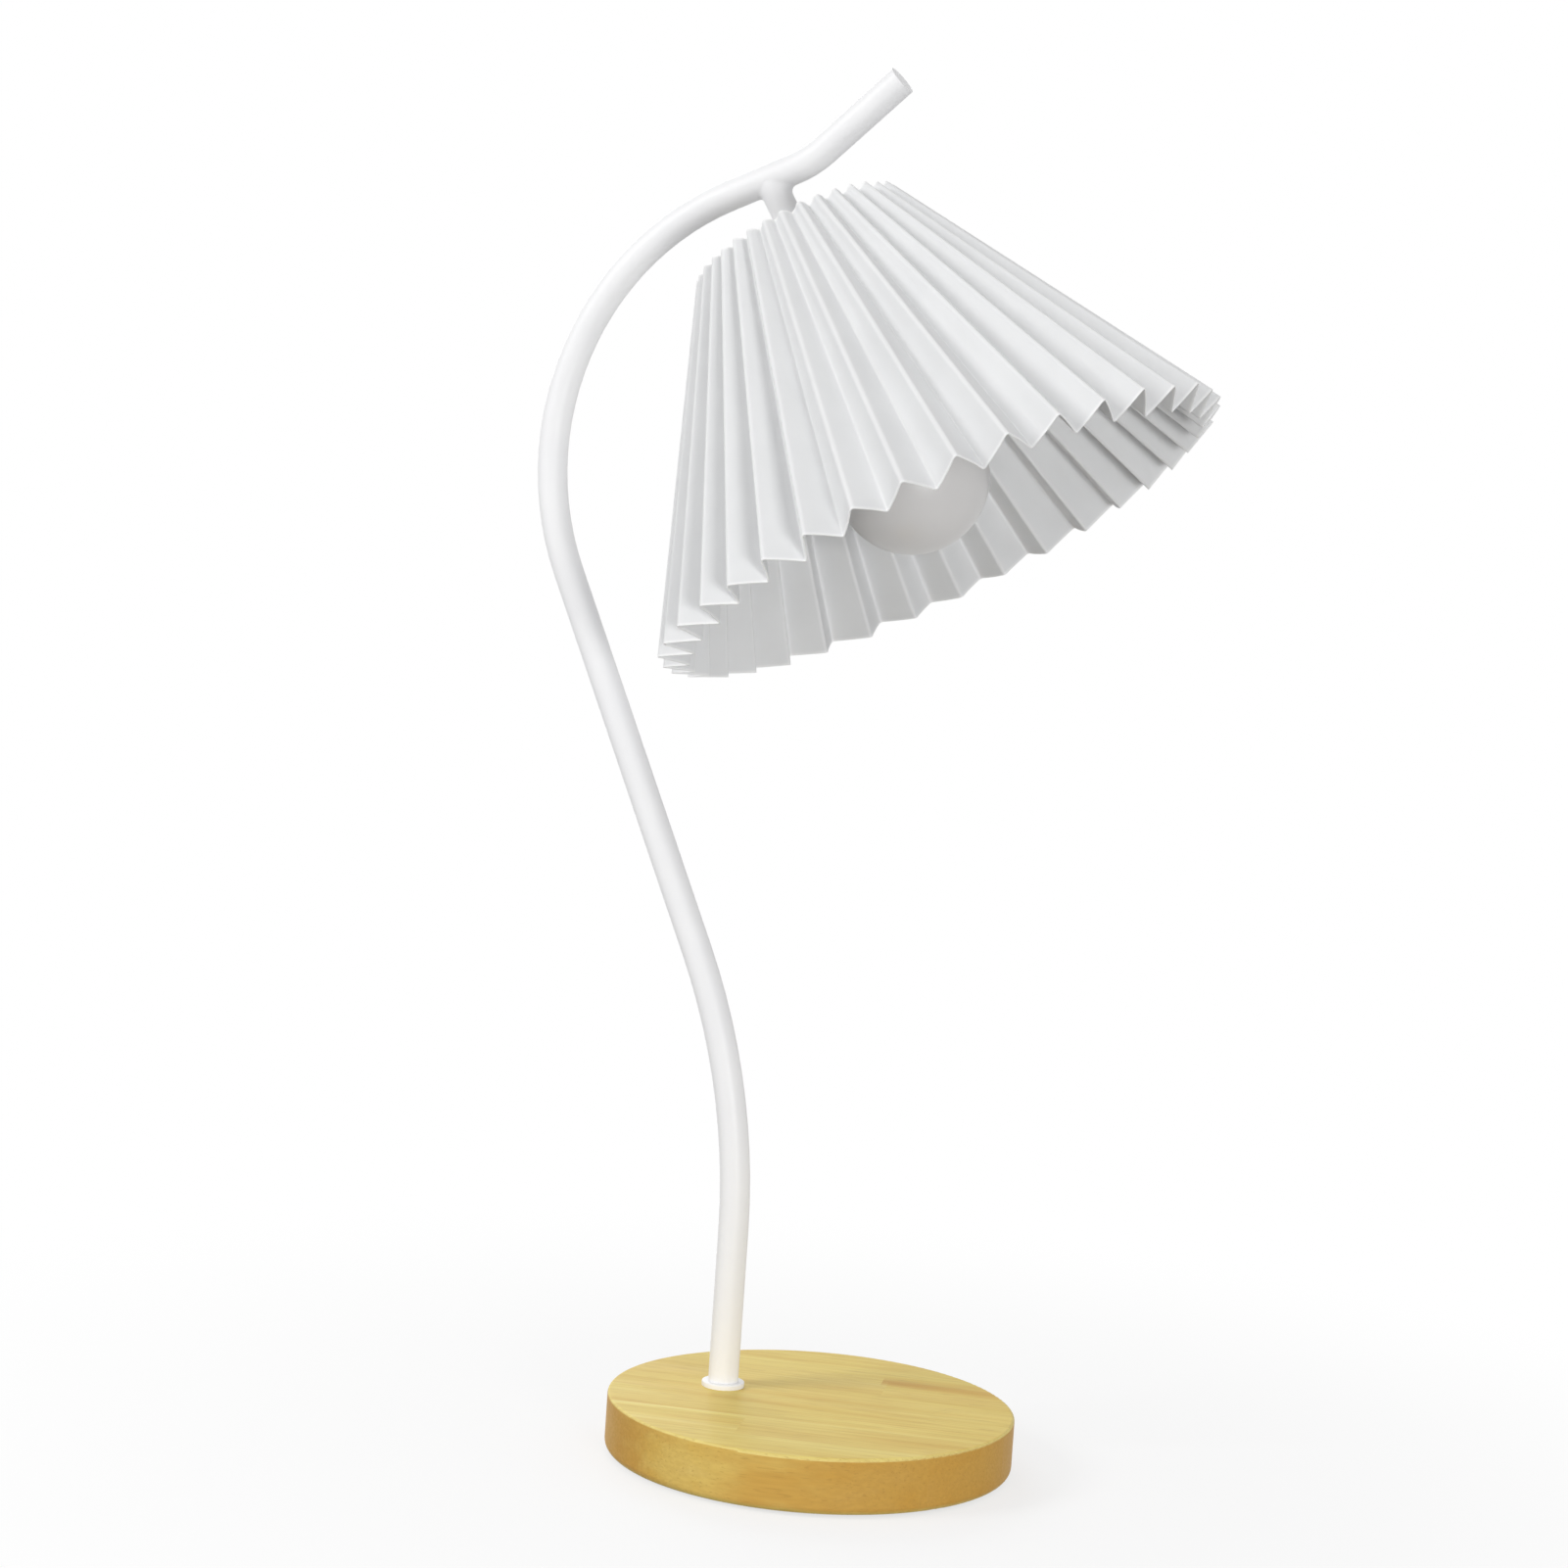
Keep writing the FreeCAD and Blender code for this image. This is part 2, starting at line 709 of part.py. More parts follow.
def bulb_globe():
    inner_radius = globe_radius - globe_wall
    inner_mouth_radius = math.sqrt(inner_radius ** 2 - globe_mouth_setback ** 2)
    outer_mouth = V(globe_mouth_radius, 0, globe_mouth)
    inner_mouth = V(inner_mouth_radius, 0, globe_mouth)
    outer_end = V(0, 0, globe_centre + globe_radius)
    inner_end = V(0, 0, globe_centre + inner_radius)
    edges = [
        globe_arc(globe_radius, outer_mouth, outer_end),
        Part.LineSegment(outer_end, inner_end).toShape(),
        globe_arc(inner_radius, inner_end, inner_mouth),
        Part.LineSegment(inner_mouth, outer_mouth).toShape(),
    ]
    return turned(edges)


def bulb_led_plate():
    inner_radius = globe_radius - globe_wall
    plate_radius = math.sqrt(inner_radius ** 2 - globe_mouth_setback ** 2) - seat_gap
    return post(plate_radius, globe_mouth, globe_mouth + led_plate_thickness)


nodes = {
    "base_disc": base_disc(),
    "base_pad": base_pad(),
    "cord_inlet_bush": cord_inlet_bush(),
    "foot_collar": foot_collar(),
    "foot_nipple": foot_nipple(),
    "foot_washer": foot_washer(),
    "foot_spring_washer": foot_spring_washer(),
    "foot_nut": foot_nut(),
    "terminal_block": terminal_block(),
    "terminal_inserts": terminal_inserts(),
    "terminal_screws": terminal_screws(),
    "stem_tube": stem_tube(),
    "stem_tip_plug": stem_tip_plug(),
    "holder_stub": holder_stub(),
    "stub_weld": stub_weld(),
    "wire_live": inner_wire(1),
    "wire_neutral": inner_wire(-1),
    "holder_nipple": on_holder(holder_nipple()),
    "holder_locknut": on_holder(holder_locknut()),
    "holder_cap": on_holder(holder_cap()),
    "holder_body": on_holder(holder_body()),
    "holder_insulator": on_holder(holder_insulator()),
    "holder_posts": on_holder(holder_posts()),
    "centre_contact": on_holder(centre_contact()),
    "screw_shell": on_holder(screw_shell()),
    "pleated_shade": on_holder(pleated_shade()),
    "shade_carrier": on_holder(shade_carrier()),
    "shade_ring": on_holder(shade_ring()),
    "bulb_contact_button": on_holder(bulb_contact_button()),
    "bulb_insulator": on_holder(bulb_insulator()),
    "bulb_screw_cap": on_holder(bulb_screw_cap()),
    "bulb_housing": on_holder(bulb_housing()),
    "bulb_globe": on_holder(bulb_globe()),
    "bulb_led_plate": on_holder(bulb_led_plate()),
}

os.makedirs("parts", exist_ok=True)
for name, shape in nodes.items():
    shape.exportStep(f"parts/{name}.step")
    print(name, len(shape.Solids), "solids", round(shape.Volume, 1), "mm3", shape.isValid())
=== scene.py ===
import json
import math
import random

import bpy
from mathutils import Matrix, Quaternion, Vector


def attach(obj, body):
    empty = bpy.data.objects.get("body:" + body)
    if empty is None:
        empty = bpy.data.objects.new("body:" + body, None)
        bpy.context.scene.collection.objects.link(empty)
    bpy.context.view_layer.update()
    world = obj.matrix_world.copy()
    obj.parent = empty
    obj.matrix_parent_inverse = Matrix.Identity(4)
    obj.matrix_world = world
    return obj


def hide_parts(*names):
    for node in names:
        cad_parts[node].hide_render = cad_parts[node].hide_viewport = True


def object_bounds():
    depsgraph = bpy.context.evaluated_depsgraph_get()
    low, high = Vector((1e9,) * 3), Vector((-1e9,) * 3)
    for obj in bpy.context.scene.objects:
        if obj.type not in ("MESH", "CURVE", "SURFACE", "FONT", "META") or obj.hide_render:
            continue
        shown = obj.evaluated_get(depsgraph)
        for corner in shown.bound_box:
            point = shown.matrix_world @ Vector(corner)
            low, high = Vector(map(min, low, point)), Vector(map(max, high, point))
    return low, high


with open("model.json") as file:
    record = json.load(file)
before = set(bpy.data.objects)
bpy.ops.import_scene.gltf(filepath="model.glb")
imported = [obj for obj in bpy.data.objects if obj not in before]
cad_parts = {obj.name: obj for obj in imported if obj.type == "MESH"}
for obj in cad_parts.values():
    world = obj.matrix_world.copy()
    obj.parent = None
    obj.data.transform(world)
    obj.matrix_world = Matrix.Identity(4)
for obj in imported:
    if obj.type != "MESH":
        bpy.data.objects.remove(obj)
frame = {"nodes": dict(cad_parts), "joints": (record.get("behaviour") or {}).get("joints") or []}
cad_low, cad_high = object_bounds()


# The base disc is turned from pale hardwood staves, glued edge to edge and end to end into a block.
# Its top edge is broken and its lower edge rounded, and a thin satin varnish covers it all over.
# The foot's nipple passes through it, and a pocket under it takes the fixing and the terminals.
def put(tree, kind, inputs=None, **settings):
    """Adds a node; each of its inputs is given as a constant or as the output that feeds it."""
    node = tree.nodes.new(kind)
    for name, value in settings.items():
        setattr(node, name, value)
    for socket, value in (inputs or {}).items():
        if isinstance(value, bpy.types.NodeSocket):
            tree.links.new(value, node.inputs[socket])
        else:
            node.inputs[socket].default_value = value
    return node


def calc(tree, operation, first, second=0.0):
    """Arithmetic on one or two values."""
    return put(tree, "ShaderNodeMath", {0: first, 1: second}, operation=operation).outputs[0]


def reckon(tree, operation, first, second):
    """Vector arithmetic on texture coordinates."""
    return put(tree, "ShaderNodeVectorMath", {0: first, 1: second}, operation=operation)


def spread(tree, value, low, high, to_low=0.0, to_high=1.0):
    """Maps a value from one range to another, smoothly and within its ends."""
    inputs = {"Value": value, "From Min": low, "From Max": high, "To Min": to_low, "To Max": to_high}
    return put(tree, "ShaderNodeMapRange", inputs, interpolation_type="SMOOTHSTEP").outputs[0]


def tint(tree, share, first, second):
    """Mixes a share of the second colour into the first."""
    inputs = {0: share, 6: first, 7: second}
    return put(tree, "ShaderNodeMix", inputs, data_type="RGBA").outputs[2]


def speckle(tree, vector, scale, detail=2.0):
    """Soft noise, most of which lies between noise_low and noise_high."""
    inputs = {"Vector": vector, "Scale": scale, "Detail": detail}
    return put(tree, "ShaderNodeTexNoise", inputs).outputs[0]


def relief(tree, shader, height, depth, strength):
    """Raises the surface's shading by a height, with its depth in metres."""
    bump = put(tree, "ShaderNodeBump", {"Height": height, "Distance": depth, "Strength": strength})
    tree.links.new(bump.outputs[0], shader.inputs["Normal"])


def new_finish(name, constants):
    """A material, its node tree and its shader, with the shader's constant sockets set."""
    material = bpy.data.materials.new(name)
    material.use_nodes = True
    tree = material.node_tree
    shader = tree.nodes["Principled BSDF"]
    for socket, value in constants.items():
        shader.inputs[socket].default_value = value
    return material, tree, shader


def dress(material, *node_names):
    """Gives solid pieces their finish."""
    for node_name in node_names:
        mesh = frame["nodes"][node_name].data
        mesh.materials.clear()
        mesh.materials.append(material)


noise_low = 0.3
noise_high = 0.7
grain_turn = math.radians(12)
grain_direction = (math.cos(grain_turn), math.sin(grain_turn), 0)
upright = (0, 0, 1)
stave_width = 0.026
stave_length = 0.30
first_edge = 0.006
first_joint = 0.30
joint_shift = 0.618
honey = (0.73, 0.53, 0.13, 1)
straw = (0.81, 0.655, 0.197, 1)
cream = (0.86, 0.738, 0.28, 1)
amber = (0.57, 0.297, 0.057, 1)
pore_brown = (0.36, 0.19, 0.05, 1)

varnished_wood, tree, shader = new_finish("varnished_wood", {"IOR": 1.5, "Specular IOR Level": 0.06})
place = put(tree, "ShaderNodeTexCoord").outputs["Object"]
turn_back = {"Vector": place, "Rotation": (0, 0, -grain_turn)}
along_grain = put(tree, "ShaderNodeMapping", turn_back).outputs[0]
along, across, height = put(tree, "ShaderNodeSeparateXYZ", {0: along_grain}).outputs
strip = calc(tree, "FLOOR", calc(tree, "DIVIDE", calc(tree, "ADD", across, first_edge), stave_width))
strip_shift = calc(tree, "ADD", calc(tree, "MULTIPLY", strip, joint_shift), first_joint)
stave = calc(tree, "FLOOR", calc(tree, "ADD", calc(tree, "DIVIDE", along, stave_length), strip_shift))
stave_number = put(tree, "ShaderNodeCombineXYZ", {0: strip, 1: stave}).outputs[0]
stave_dice = put(tree, "ShaderNodeTexWhiteNoise", {"Vector": stave_number}, noise_dimensions="2D")
stave_value, stave_offset = stave_dice.outputs
own_place = reckon(tree, "ADD", stave_offset, along_grain).outputs[0]


def grain(length_share, scale, detail):
    """Noise drawn out along the grain, each stave with its own."""
    drawn_out = reckon(tree, "MULTIPLY", own_place, (length_share, 1, 1)).outputs[0]
    return speckle(tree, drawn_out, scale, detail)


clouds = grain(length_share=0.5, scale=28, detail=3)
bands = grain(length_share=0.07, scale=80, detail=4)
fibres = grain(length_share=0.02, scale=800, detail=3)
pores = grain(length_share=0.05, scale=1500, detail=1)

# The staves' own colour runs from honey through straw to cream, and some staves are warmer.
dark_band = 0.30
middle_band = 0.52
light_band = 0.78
cream_share = 0.8
cloud_start = 0.45
cloud_full = 0.75
cloud_share = 0.25
warm_stave_start = 0.3
warm_stave_share = 0.15
colour = tint(tree, spread(tree, bands, dark_band, middle_band), honey, straw)
colour = tint(tree, spread(tree, bands, middle_band, light_band, 0, cream_share), colour, cream)
colour = tint(tree, spread(tree, clouds, cloud_start, cloud_full, 0, cloud_share), colour, amber)
colour = tint(tree, spread(tree, stave_value, warm_stave_start, 1, 0, warm_stave_share), colour, amber)

# One stave on the right has an amber streak, which starts sharply and fades towards the rim.
streak_across = 0.042
streak_half_width = 0.008
streak_share = 0.7
streak_start = 0.022
streak_end = 0.11
off_streak = calc(tree, "ABSOLUTE", calc(tree, "SUBTRACT", across, streak_across))
streak = calc(tree, "MULTIPLY", spread(tree, off_streak, 0, streak_half_width, streak_share, 0),
              spread(tree, along, streak_start, streak_end, 1, 0))
streak = calc(tree, "MULTIPLY", streak, calc(tree, "GREATER_THAN", along, streak_start))
colour = tint(tree, streak, colour, amber)

# The turned side soaks up more varnish, most of all on end grain, except on pale sapwood at the front.
side_slope = 0.2
top_slope = 0.9
end_grain = 0.9
side_share = 0.78
end_grain_share = 0.85
sapwood_middle = (-0.014, -0.079, 0.010)
sapwood_core = 0.006
sapwood_reach = 0.042
sapwood_share = 0.5
flame_stretch = (1, 1, 2)
flame_scale = 45
flame_reach = 0.012
facing = put(tree, "ShaderNodeNewGeometry").outputs["Normal"]
upward = calc(tree, "ABSOLUTE", reckon(tree, "DOT_PRODUCT", facing, upright).outputs[1])
endwise = calc(tree, "ABSOLUTE", reckon(tree, "DOT_PRODUCT", facing, grain_direction).outputs[1])
turned_side = calc(tree, "MULTIPLY", spread(tree, upward, side_slope, top_slope, 1, 0),
                   spread(tree, endwise, 0, end_grain, side_share, end_grain_share))
from_sapwood = reckon(tree, "DISTANCE", place, sapwood_middle).outputs[1]
flame = speckle(tree, reckon(tree, "MULTIPLY", place, flame_stretch).outputs[0], flame_scale, detail=3)
ragged = calc(tree, "ADD", from_sapwood,
              spread(tree, flame, noise_low, noise_high, -flame_reach, flame_reach))
sapwood = spread(tree, ragged, sapwood_core, sapwood_reach, sapwood_share, 0)
darkened = calc(tree, "MULTIPLY", turned_side, calc(tree, "SUBTRACT", 1.0, sapwood))
colour = tint(tree, darkened, colour, amber)

# The broken top edge is painted paler: partly sanded wood, and partly a painted highlight where its
# rounding catches the light.
edge_start = (0.2, 0.5)
edge_end = (0.75, 0.98)
sanded_and_highlit_above = 0.010
sanded_and_highlit_share = 0.6
sanded_and_highlit = calc(tree, "MULTIPLY", spread(tree, upward, *edge_start), spread(tree, upward, *edge_end, 1, 0))
sanded_and_highlit = calc(tree, "MULTIPLY", sanded_and_highlit, calc(tree, "GREATER_THAN", height, sanded_and_highlit_above))
colour = tint(tree, calc(tree, "MULTIPLY", sanded_and_highlit, sanded_and_highlit_share), colour, cream)

# Fibres and open pores show as fine dark lines, and the varnish fills most of their depth.
fibre_dark = 0.35
fibre_pale = 0.7
fibre_share = 0.15
pore_start = 0.60
pore_full = 0.72
pore_share = 0.28
varnish_rough = 0.48
varnish_smooth = 0.38
grain_depth = 0.0001
unfilled_share = 0.25
colour = tint(tree, spread(tree, fibres, fibre_dark, fibre_pale, fibre_share, 0), colour, pore_brown)
colour = tint(tree, spread(tree, pores, pore_start, pore_full, 0, pore_share), colour, pore_brown)
roughness = spread(tree, fibres, noise_low, noise_high, varnish_rough, varnish_smooth)
tree.links.new(colour, shader.inputs["Base Color"])
tree.links.new(roughness, shader.inputs["Roughness"])
relief(tree, shader, calc(tree, "SUBTRACT", fibres, pores), grain_depth, unfilled_share)
dress(varnished_wood, "base_disc")


# The pad is a die-cut disc of dark foam rubber.
# It is stuck under the base so that the lamp stands firm and doesn't scratch the table.
skin_strength = 0.5
foam_tones = ((0.055, 0.055, 0.055, 1), (0.10, 0.10, 0.098, 1))


def skin_group():
    """Shared effect: a fine even skin, as the roughness it gives and the height that it stands."""
    group = bpy.data.node_groups.new("fine_skin", "ShaderNodeTree")
    for name in ("Scale", "Smooth", "Rough"):
        group.interface.new_socket(name, in_out="INPUT", socket_type="NodeSocketFloat")
    for name in ("Roughness", "Height"):
        group.interface.new_socket(name, in_out="OUTPUT", socket_type="NodeSocketFloat")
    given = put(group, "NodeGroupInput").outputs
    where = put(group, "ShaderNodeTexCoord").outputs["Object"]
    bumps = speckle(group, where, given["Scale"])
    roughness = spread(group, bumps, noise_low, noise_high, given["Smooth"], given["Rough"])
    put(group, "NodeGroupOutput", {"Roughness": roughness, "Height": bumps})
    return group


def drift_group():
    """Shared effect: a colour that wanders between two close tones."""
    group = bpy.data.node_groups.new("tone_drift", "ShaderNodeTree")
    group.interface.new_socket("Scale", in_out="INPUT", socket_type="NodeSocketFloat")
    for name in ("First", "Second"):
        group.interface.new_socket(name, in_out="INPUT", socket_type="NodeSocketColor")
    group.interface.new_socket("Colour", in_out="OUTPUT", socket_type="NodeSocketColor")
    given = put(group, "NodeGroupInput").outputs
    where = put(group, "ShaderNodeTexCoord").outputs["Object"]
    share = spread(group, speckle(group, where, given["Scale"], detail=3), noise_low, noise_high)
    put(group, "NodeGroupOutput", {"Colour": tint(group, share, given["First"], given["Second"])})
    return group


fine_skin = skin_group()
tone_drift = drift_group()


def drifting_colour(tree, tones, scale):
    """A colour that drifts between two tones, in patches of a given scale."""
    inputs = {"Scale": scale, "First": tones[0], "Second": tones[1]}
    return put(tree, "ShaderNodeGroup", inputs, node_tree=tone_drift).outputs["Colour"]


def lay_skin(tree, shader, scale, smooth, rough, depth):
    """Gives a shader its roughness and its fine relief."""
    inputs = {"Scale": scale, "Smooth": smooth, "Rough": rough}
    skin = put(tree, "ShaderNodeGroup", inputs, node_tree=fine_skin)
    tree.links.new(skin.outputs["Roughness"], shader.inputs["Roughness"])
    relief(tree, shader, skin.outputs["Height"], depth, skin_strength)


def plain_finish(name, constants, tones, tone_scale, skin):
    """A finish of two drifting tones over a fine skin."""
    material, tree, shader = new_finish(name, constants)
    tree.links.new(drifting_colour(tree, tones, tone_scale), shader.inputs["Base Color"])
    lay_skin(tree, shader, **skin)
    return material


pad_foam = plain_finish("pad_foam", {"Specular IOR Level": 0.2}, foam_tones, tone_scale=60,
                        skin=dict(scale=1400, smooth=0.8, rough=0.95, depth=0.0003))
dress(pad_foam, "base_pad")


# The foot's fixing is a threaded nipple, a flat washer, a split washer and a nut of zinc-plated steel.
# They sit in the base's pocket and draw the stem down on its collar.
zinc_tones = ((0.66, 0.67, 0.69, 1), (0.52, 0.53, 0.56, 1))
zinc_plate = plain_finish("zinc_plate", {"Metallic": 1}, zinc_tones, tone_scale=160,
                          skin=dict(scale=900, smooth=0.26, rough=0.42, depth=0.00006))
dress(zinc_plate, "foot_nipple", "foot_washer", "foot_spring_washer", "foot_nut")


# The terminal block is a moulded white bar on two brass tubes, and zinc-plated screws clamp the wires.
# The inlet's bush, pressed into the base's rear edge, is the same white plastic.
plastic_tones = ((0.84, 0.84, 0.83, 1), (0.79, 0.79, 0.785, 1))
brass_tones = ((0.76, 0.58, 0.29, 1), (0.64, 0.46, 0.20, 1))
moulded_white = plain_finish("moulded_white", {"IOR": 1.49}, plastic_tones, tone_scale=90,
                             skin=dict(scale=2200, smooth=0.36, rough=0.5, depth=0.00005))
brass = plain_finish("brass", {"Metallic": 1}, brass_tones, tone_scale=140,
                     skin=dict(scale=1100, smooth=0.2, rough=0.38, depth=0.00005))
dress(moulded_white, "terminal_block", "cord_inlet_bush")
dress(brass, "terminal_inserts")
dress(zinc_plate, "terminal_screws")


# Two single-core wires, one brown and one blue, in smooth plastic sleeves.
# They run from the terminal block up the stem and down its branch to the holder's posts.
brown_tones = ((0.15, 0.065, 0.03, 1), (0.11, 0.045, 0.02, 1))
blue_tones = ((0.03, 0.10, 0.36, 1), (0.02, 0.07, 0.27, 1))
sleeve_skin = dict(scale=1800, smooth=0.35, rough=0.5, depth=0.00004)
brown_sleeve = plain_finish("brown_sleeve", {"IOR": 1.52}, brown_tones, tone_scale=200, skin=sleeve_skin)
blue_sleeve = plain_finish("blue_sleeve", {"IOR": 1.52}, blue_tones, tone_scale=200, skin=sleeve_skin)
dress(brown_sleeve, "wire_live")
dress(blue_sleeve, "wire_neutral")


# The stem is one bent steel tube with a closed tip, a short branch welded under its neck and a collar
# at its foot. All of it is coated with satin white powder, baked to a faint orange-peel skin.
powder_tones = ((0.875, 0.875, 0.88, 1), (0.85, 0.85, 0.86, 1))
powder_coat = plain_finish("powder_coat", {"IOR": 1.5, "Specular IOR Level": 0.3}, powder_tones,
                           tone_scale=25, skin=dict(scale=1300, smooth=0.36, rough=0.48, depth=0.00004))
dress(powder_coat, "foot_collar", "stem_tube", "stem_tip_plug", "holder_stub", "stub_weld")


# The lamp holder is a moulded cap and a threaded body, held on its branch by a plated nipple and locknut.
# Inside are a glazed insulator with brass posts and contact, and a nickelled screw shell.
# A screw ring on the body's thread holds the shade's carrier.
glaze_tones = ((0.80, 0.78, 0.72, 1), (0.74, 0.715, 0.65, 1))
nickel_tones = ((0.72, 0.71, 0.68, 1), (0.62, 0.61, 0.59, 1))
glaze = plain_finish("glaze", {"IOR": 1.55, "Coat Weight": 0.6, "Coat Roughness": 0.05}, glaze_tones,
                     tone_scale=80, skin=dict(scale=500, smooth=0.12, rough=0.2, depth=0.00005))
nickel = plain_finish("nickel", {"Metallic": 1}, nickel_tones, tone_scale=120,
                      skin=dict(scale=700, smooth=0.14, rough=0.28, depth=0.00004))
dress(zinc_plate, "holder_nipple", "holder_locknut")
dress(moulded_white, "holder_cap", "holder_body", "shade_ring")
dress(glaze, "holder_insulator")
dress(brass, "holder_posts", "centre_contact")
dress(nickel, "screw_shell")


# The bulb has a nickelled screw cap with a black glass insulator and a brass contact, a white
# plastic body, an aluminium light plate sealed inside, and an opal globe with a silky skin.
black_tones = ((0.02, 0.02, 0.022, 1), (0.035, 0.035, 0.036, 1))
opal_tones = ((0.68, 0.67, 0.665, 1), (0.66, 0.65, 0.645, 1))
plate_tones = ((0.76, 0.77, 0.79, 1), (0.7, 0.71, 0.73, 1))
black_glass = plain_finish("black_glass", {"IOR": 1.52, "Coat Weight": 0.5}, black_tones, tone_scale=150,
                           skin=dict(scale=900, smooth=0.1, rough=0.2, depth=0.00003))
bulb_white = plain_finish("bulb_white", {"IOR": 1.5}, plastic_tones, tone_scale=60,
                          skin=dict(scale=1800, smooth=0.22, rough=0.32, depth=0.00003))
opal = plain_finish("opal", {"IOR": 1.5}, opal_tones, tone_scale=40,
                    skin=dict(scale=1500, smooth=0.28, rough=0.36, depth=0.00002))
light_plate = plain_finish("light_plate", {"Metallic": 1}, plate_tones, tone_scale=100,
                           skin=dict(scale=1000, smooth=0.3, rough=0.45, depth=0.00004))
dress(nickel, "bulb_screw_cap")
dress(black_glass, "bulb_insulator")
dress(brass, "bulb_contact_button")
dress(bulb_white, "bulb_housing")
dress(light_plate, "bulb_led_plate")
dress(opal, "bulb_globe")


# The carrier is a steel wire loop on three spokes and a hub, coated white like the stem.
# Its hub turns on the holder's shoulder, and the loop bears on the inside of the shade's folds.
dress(powder_coat, "shade_carrier")


# The shade is one fan-shaped sheet of matt white plastic, folded into 36 sharp pleats that all run to
# one apex on the holder's axis. Its last panel laps the first at the rear, and the loop carries its
# folds. Its creases are painted whiter, partly the whitening that folding leaves and partly a painted
# highlight where the rounded creases catch the light, and its two cut rims carry a painted highlight.
swivel = next(joint for joint in frame["joints"] if joint["name"] == "shade_swivel")
shade_axis = Vector(swivel["axis"]).normalized()
shade_side = Vector((0, 1, 0))
shade_across = shade_side.cross(shade_axis)
apex_setback = 0.0485
shade_apex = Vector(swivel["pos_m"]) - shade_axis * apex_setback
pleat_count = 36
fold_count = 2 * pleat_count
half_pleat = math.pi / pleat_count
pleat_phase = math.radians(5.2)
fold_drift = math.radians(4.0)
fold_drift_turn = math.radians(150)
fold_ripple = math.radians(1.8)
fold_ripple_turn = math.radians(99)
ridge_half_angle = math.radians(29.84)
valley_half_angle = math.radians(26.74)
top_rim_distance = 0.0873
bottom_rim_distance = 0.2375
slant_length = bottom_rim_distance - top_rim_distance
sheet_thickness = 0.0005
crease_length = 0.0015
# The creases get partly real fold whitening and partly a painted highlight; the cut rims get a painted
# highlight.
crease_whiteness_and_highlight = 0.2
rim_band = 0.0012
rim_highlight = 0.9
panel_bow = 0.00025
lap_lift = 0.0006
scatter_seed = 36
turn_scatter = math.radians(0.25)
angle_scatter = math.radians(0.18)
rim_scatter = 0.0004
inner_rows = 24
crease_steps = (0, 0.25, 0.5, 0.75, 1)
panel_steps = (0.25, 0.5, 0.75)
sharp_turn = math.radians(50)

hand = random.Random(scatter_seed)
folds = []
for fold in range(fold_count):
    half_angle = valley_half_angle if fold % 2 else ridge_half_angle
    even_turn = pleat_phase + fold * half_pleat
    drift = fold_drift * math.cos(even_turn - fold_drift_turn)
    ripple = fold_ripple * math.cos(2 * (even_turn - fold_ripple_turn))
    folds.append((even_turn + drift + ripple + hand.uniform(-turn_scatter, turn_scatter),
                  half_angle + hand.uniform(-angle_scatter, angle_scatter),
                  hand.uniform(-rim_scatter, rim_scatter)))


def fold_point(fold, drop):
    """A point on a fold's line, a drop below the top rim; after the last fold comes the first again."""
    turn, half_angle, rim_shift = folds[fold % fold_count]
    sideways = shade_across * math.cos(turn) + shade_side * math.sin(turn)
    direction = shade_axis * math.cos(half_angle) + sideways * math.sin(half_angle)
    return shade_apex + direction * (top_rim_distance + drop + rim_shift)


def swell(step):
    """Rises from nothing at both ends of a stretch to one at its middle."""
    return 4 * step * (1 - step)


def crease(before, corner, after):
    """Points round a small soft fold, and how much painted whiteness and highlight each of them gets."""
    start = corner + (before - corner).normalized() * crease_length
    end = corner + (after - corner).normalized() * crease_length
    points = [start.lerp(corner, step).lerp(corner.lerp(end, step), step) for step in crease_steps]
    return points, [crease_whiteness_and_highlight * swell(step) for step in crease_steps]


def panel(start, end, bow):
    """Points across a panel that bows a little to one side, none of them painted whiter."""
    points = [start.lerp(end, step) + bow * swell(step) for step in panel_steps]
    return points, [0.0] * len(panel_steps)


def line_round(drop):
    """One line round the sheet, from its first panel to the end of the panel that laps it."""
    corners = [fold_point(fold, drop) for fold in range(-1, fold_count + 3)]
    points = []
    whiteness_and_highlight = []
    for fold in range(fold_count + 1):
        before, here, after, beyond = corners[fold:fold + 4]
        crease_points, crease_marks = crease(before, here, after)
        next_start = crease(here, after, beyond)[0][0]
        outward = (after - here).cross(here - shade_apex).normalized()
        bow = outward * (panel_bow if fold % 2 else -panel_bow)
        panel_points, panel_marks = panel(crease_points[-1], next_start, bow)
        if fold == 0:
            points += crease_points[-1:] + panel_points
            whiteness_and_highlight += [rim_highlight] + panel_marks
        elif fold < fold_count:
            points += crease_points + panel_points
            whiteness_and_highlight += crease_marks + panel_marks
        else:
            lifts = [lap_lift * step for step in crease_steps] + [lap_lift] * len(panel_steps)
            bare = crease_points + panel_points
            lapped = [point + outward * lift for point, lift in zip(bare, lifts)]
            points += lapped + [next_start + outward * lap_lift]
            whiteness_and_highlight += crease_marks + panel_marks + [rim_highlight]
    return points, whiteness_and_highlight


